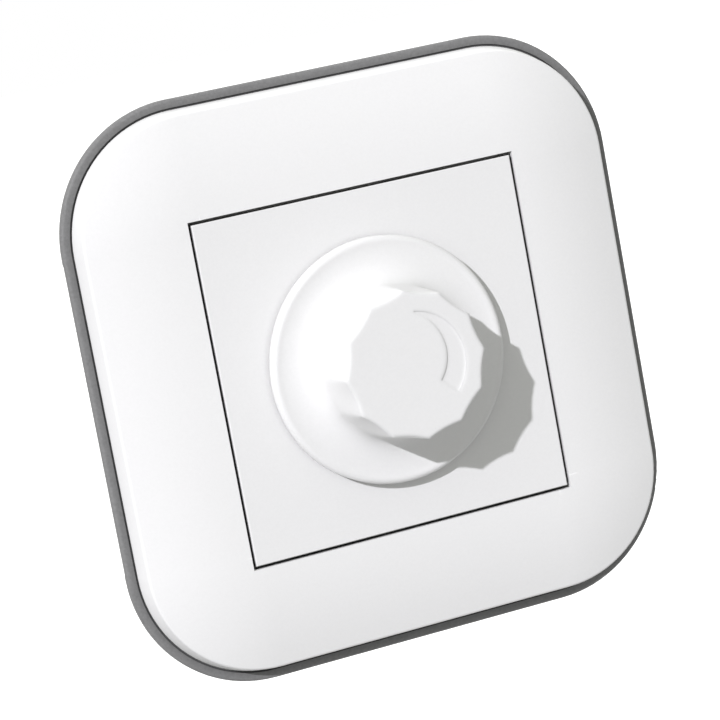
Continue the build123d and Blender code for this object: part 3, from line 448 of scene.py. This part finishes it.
def crescent_outline():
    """Outline of the crescent: an arc, and back along a line that narrows towards its tip."""
    steps = [step / CRESCENT_STEPS for step in range(CRESCENT_STEPS + 1)]
    outline = [turned(CRESCENT_RADIUS, 0.0, CRESCENT_START + t * CRESCENT_SWEEP) for t in steps]
    for t in reversed(steps):
        width = CRESCENT_TIP + (CRESCENT_WIDTH - CRESCENT_TIP) * (1 - t**2)
        outline.append(turned(CRESCENT_RADIUS - width, 0.0, CRESCENT_START + t * CRESCENT_SWEEP))
    return outline


def rib_outline(angle):
    """Outline of one rib, which ends a little inside the hub and the wall."""
    start = HUB_RADIUS - RIB_INSIDE
    end = HOLLOW_FOOT[0] + RIB_INSIDE
    corners = ((start, -RIB_HALF), (end, -RIB_HALF), (end, RIB_HALF), (start, RIB_HALF))
    return [turned(along, side, angle) for along, side in corners]


# Knob: the CAD's moulding, with a level skirt inside a raised rim, and with facets that fade into the foot
# without a crease
knob_low, knob_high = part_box("knob")
knob_height = knob_high[1] - knob_low[1]
moulding = LoopMesh(knob_high[1])
sections = inside_sections() + outside_sections(knob_high[0], knob_height)
loops = [moulding.loop(*section) for section in sections]
for low_loop, high_loop in zip(loops, loops[1:]):
    moulding.join(low_loop, high_loop)
moulding.faces.append(tuple(reversed(loops[0])))
crescent_edge = moulding.loop(crescent_outline(), knob_height)
crescent_floor = moulding.loop(crescent_outline(), knob_height - CRESCENT_DEPTH)
moulding.join(crescent_edge, crescent_floor)
moulding.fill(crescent_floor)
moulding.fill(loops[-1], crescent_edge)
for k in range(HUB_RIBS):
    rib = rib_outline(math.pi * (2 * k + 1) / HUB_RIBS)
    rib_low = moulding.loop(rib, RIB_BOTTOM)
    rib_high = moulding.loop(rib, HOLLOW_TOP[1] + RIB_INSIDE)
    moulding.join(rib_low, rib_high)
    moulding.faces.append(tuple(reversed(rib_low)))
    moulding.faces.append(tuple(rib_high))
knob = add_piece("knob_moulding", moulding.points, moulding.faces, materials["knob_plastic"])
knob.data.polygons.foreach_set("use_smooth", [True] * len(moulding.faces))
knob.data.set_sharp_from_angle(angle=SHARP_ANGLE)
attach(knob, "knob")
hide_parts("knob")


def sun(name, direction, strength, colour, angle):
    """Distant lamp that shines on the object from a direction."""
    lamp = bpy.data.lights.new(name, "SUN")
    lamp.energy = strength
    lamp.color = colour
    lamp.angle = math.radians(angle)
    holder = bpy.data.objects.new(name, lamp)
    holder.rotation_mode = "QUATERNION"
    holder.rotation_quaternion = Vector(direction).to_track_quat("Z", "Y")
    bpy.context.scene.collection.objects.link(holder)


sun("key_light", KEY_DIRECTION, KEY_STRENGTH, KEY_COLOUR, KEY_ANGLE)
sun("back_light", BACK_DIRECTION, BACK_STRENGTH, BACK_COLOUR, BACK_ANGLE)


def grey(level):
    """Colour without a tint."""
    return (level, level, level, 1.0)


def seen_directly(tree, place):
    """Value that is 1 for rays from the camera, a reflection or a clear piece, and 0 for diffuse light."""
    x, y = place
    path = add(tree, "ShaderNodeLightPath", (x, y))
    first = add(tree, "ShaderNodeMath", (x + 200, y), operation="MAXIMUM")
    second = add(tree, "ShaderNodeMath", (x + 400, y), operation="MAXIMUM")
    tree.links.new(path.outputs["Is Camera Ray"], first.inputs[0])
    tree.links.new(path.outputs["Is Glossy Ray"], first.inputs[1])
    tree.links.new(first.outputs["Value"], second.inputs[0])
    tree.links.new(path.outputs["Is Transmission Ray"], second.inputs[1])
    return second.outputs["Value"]


# World: a soft fill, stronger from above, and plain white where it is seen
world = bpy.data.worlds.new("studio")
bpy.context.scene.world = world
sky = blank_tree(world)
sky_out = add(sky, "ShaderNodeOutputWorld", (900, 0))
sky_mix = add(sky, "ShaderNodeMixShader", (700, 0))
sky_fill = add(sky, "ShaderNodeBackground", (450, 0), {"Color": (*FILL_COLOUR, 1.0)})
sky_white = add(sky, "ShaderNodeBackground", (450, -200), {"Color": grey(1.0)})
sky_place = add(sky, "ShaderNodeTexCoord", (-600, 0))
fill_axis = Vector(FILL_DIRECTION).normalized()
sky_dot = add(sky, "ShaderNodeVectorMath", (-400, 0), {1: fill_axis}, operation="DOT_PRODUCT")
sky_above = add(sky, "ShaderNodeMath", (-200, 0), {1: 0.0}, operation="MAXIMUM")
fill_levels = {1: FILL_FROM_ABOVE, 2: FILL_ALL_ROUND}
sky_level = add(sky, "ShaderNodeMath", (0, 0), fill_levels, operation="MULTIPLY_ADD")
sky.links.new(sky_place.outputs["Generated"], sky_dot.inputs[0])
sky.links.new(sky_dot.outputs["Value"], sky_above.inputs[0])
sky.links.new(sky_above.outputs["Value"], sky_level.inputs[0])
sky.links.new(sky_level.outputs["Value"], sky_fill.inputs["Strength"])
sky.links.new(seen_directly(sky, (-100, 300)), sky_mix.inputs["Fac"])
sky.links.new(sky_fill.outputs["Background"], sky_mix.inputs[1])
sky.links.new(sky_white.outputs["Background"], sky_mix.inputs[2])
sky.links.new(sky_mix.outputs["Shader"], sky_out.inputs["Surface"])

# Floor: pale, well below the part, which is held at the wall
floor_look = bpy.data.materials.new("floor")
ground = blank_tree(floor_look)
ground_out = add(ground, "ShaderNodeOutputMaterial", (800, 0))
ground_mix = add(ground, "ShaderNodeMixShader", (600, 0))
ground_dull = add(ground, "ShaderNodeBsdfDiffuse", (200, 100), {"Color": grey(FLOOR_DULL)})
ground_pale = add(ground, "ShaderNodeBsdfDiffuse", (0, -100), {"Color": grey(FLOOR_PALE)})
ground_glow = add(ground, "ShaderNodeEmission", (0, -250), {"Strength": FLOOR_GLOW})
ground_both = add(ground, "ShaderNodeAddShader", (300, -150))
ground.links.new(ground_pale.outputs["BSDF"], ground_both.inputs[0])
ground.links.new(ground_glow.outputs["Emission"], ground_both.inputs[1])
ground.links.new(seen_directly(ground, (-300, 300)), ground_mix.inputs["Fac"])
ground.links.new(ground_dull.outputs["BSDF"], ground_mix.inputs[1])
ground.links.new(ground_both.outputs["Shader"], ground_mix.inputs[2])
ground.links.new(ground_mix.outputs["Shader"], ground_out.inputs["Surface"])
floor_sides = ((-1, -1), (1, -1), (1, 1), (-1, 1))
floor_corners = [(x * FLOOR_HALF, y * FLOOR_HALF, -FLOOR_DROP) for x, y in floor_sides]
floor = add_piece("floor", floor_corners, [(0, 1, 2, 3)], floor_look)

lens = bpy.data.cameras.new("camera")
lens.sensor_fit = "HORIZONTAL"
lens.sensor_width = SENSOR_MM
lens.lens = FOCAL_PIXELS / IMAGE_PIXELS * SENSOR_MM
lens.clip_start = NEAREST
lens.clip_end = FARTHEST
camera = bpy.data.objects.new("camera", lens)
camera_back = Vector(CAMERA_RIGHT).cross(Vector(CAMERA_UP))
camera_turn = Matrix((CAMERA_RIGHT, CAMERA_UP, camera_back)).transposed()
camera.matrix_world = Matrix.Translation(CAMERA_PLACE) @ camera_turn.to_4x4()
bpy.context.scene.collection.objects.link(camera)
bpy.context.scene.camera = camera
bpy.context.scene.view_settings.view_transform = "Standard"
